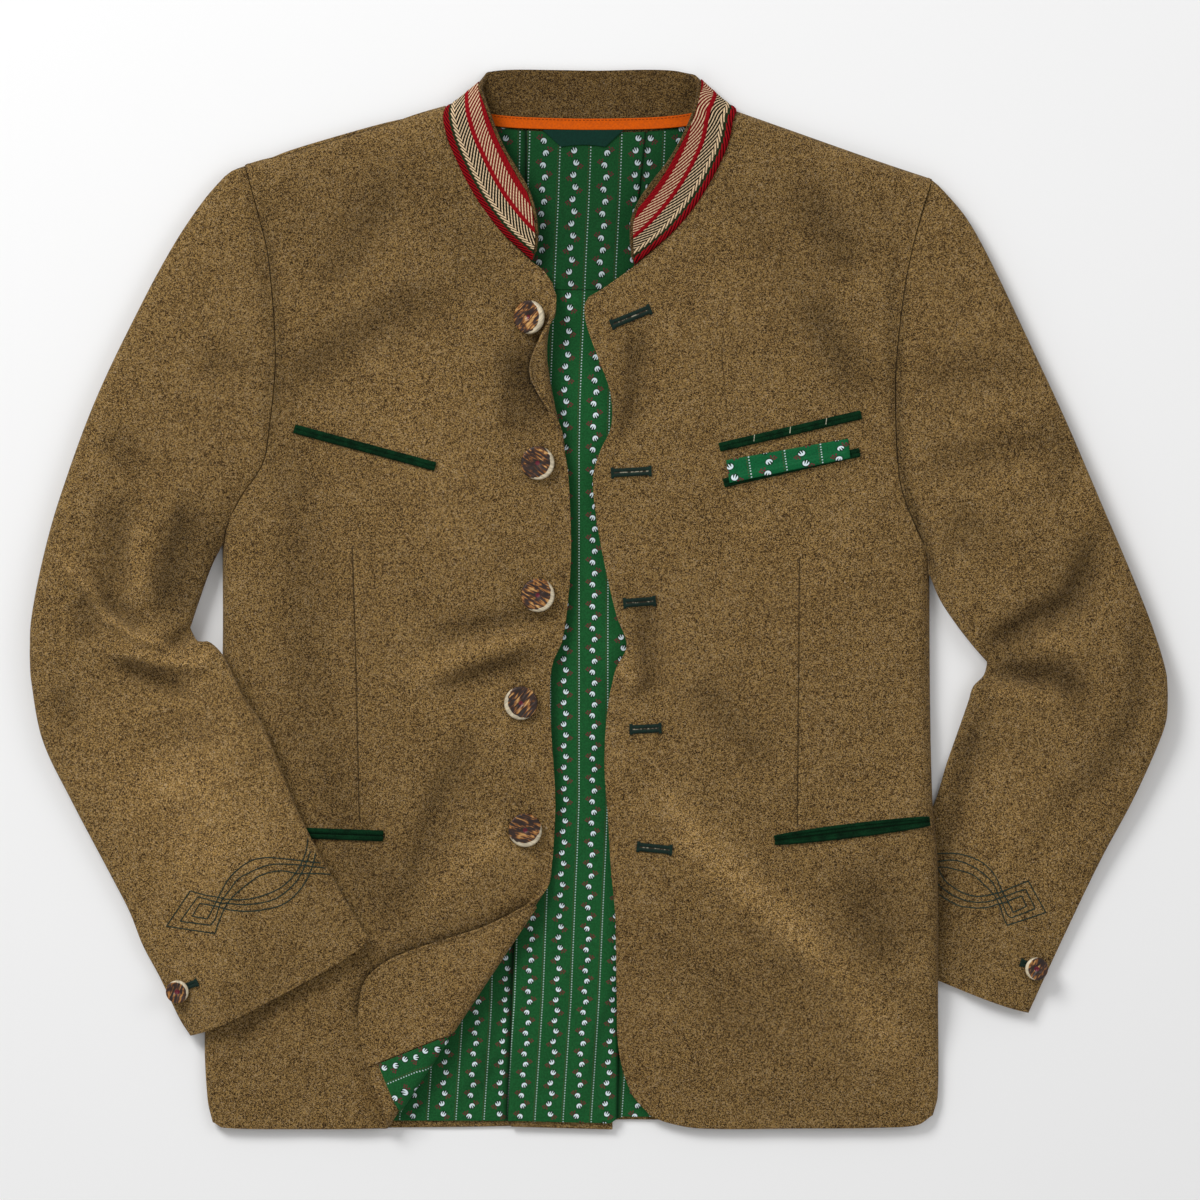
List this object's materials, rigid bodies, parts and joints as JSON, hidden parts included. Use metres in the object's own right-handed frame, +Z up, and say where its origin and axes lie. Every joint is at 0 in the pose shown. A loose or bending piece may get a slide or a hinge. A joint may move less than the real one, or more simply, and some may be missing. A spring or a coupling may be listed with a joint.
{
  "type": "tyrolean loden jacket",
  "caption": "Tyrolean loden jacket laid flat and open, with stand collar, braid trim, piped pockets, horn buttons and one front corner turned back over its printed lining.",
  "frame": {"origin": "middle of the jacket's outline, on the surface it lies on", "axes": "+X towards the wearer's left, +Y towards the collar, +Z up from the surface"},
  "size_m": [0.7966, 0.7426, 0.0334],
  "materials": {
    "loden": "milled brown wool with flecks of ochre and dark brown",
    "lining": "green print with white buds and dotted lines, soft sheen",
    "piping": "dark green velvety piping",
    "braid": "woven red and cream braid in diagonal stripes",
    "tape": "orange satin tape",
    "label": "plain dark green woven label",
    "horn": "grooved stag horn with a cream rim"
  },
  "bodies": {
    "root": {"back": "loden", "back_lining": "lining", "pleat_underlay": "loden", "right_front": "loden", "right_front_facing": "loden", "right_front_lining": "lining", "left_front": "loden", "right_sleeve": "loden", "left_sleeve": "loden", "collar": "loden", "right_collar_braid": "braid", "left_collar_braid": "braid", "neck_tape": "tape", "neck_label": "label", "right_chest_welt": "piping", "left_chest_welt_upper": "piping", "left_chest_welt_lower": "piping", "right_hip_welt": "piping", "left_hip_welt": "piping", "pocket_square": "lining", "buttonhole_1": "piping", "buttonhole_2": "piping", "buttonhole_3": "piping", "buttonhole_4": "piping", "buttonhole_5": "piping", "button_1": "horn", "button_2": "horn", "button_3": "horn", "button_4": "horn", "button_5": "horn", "right_cuff_buttonhole": "piping", "right_cuff_button": "horn", "left_cuff_buttonhole": "piping", "left_cuff_button": "horn"}
  },
  "joints": []
}
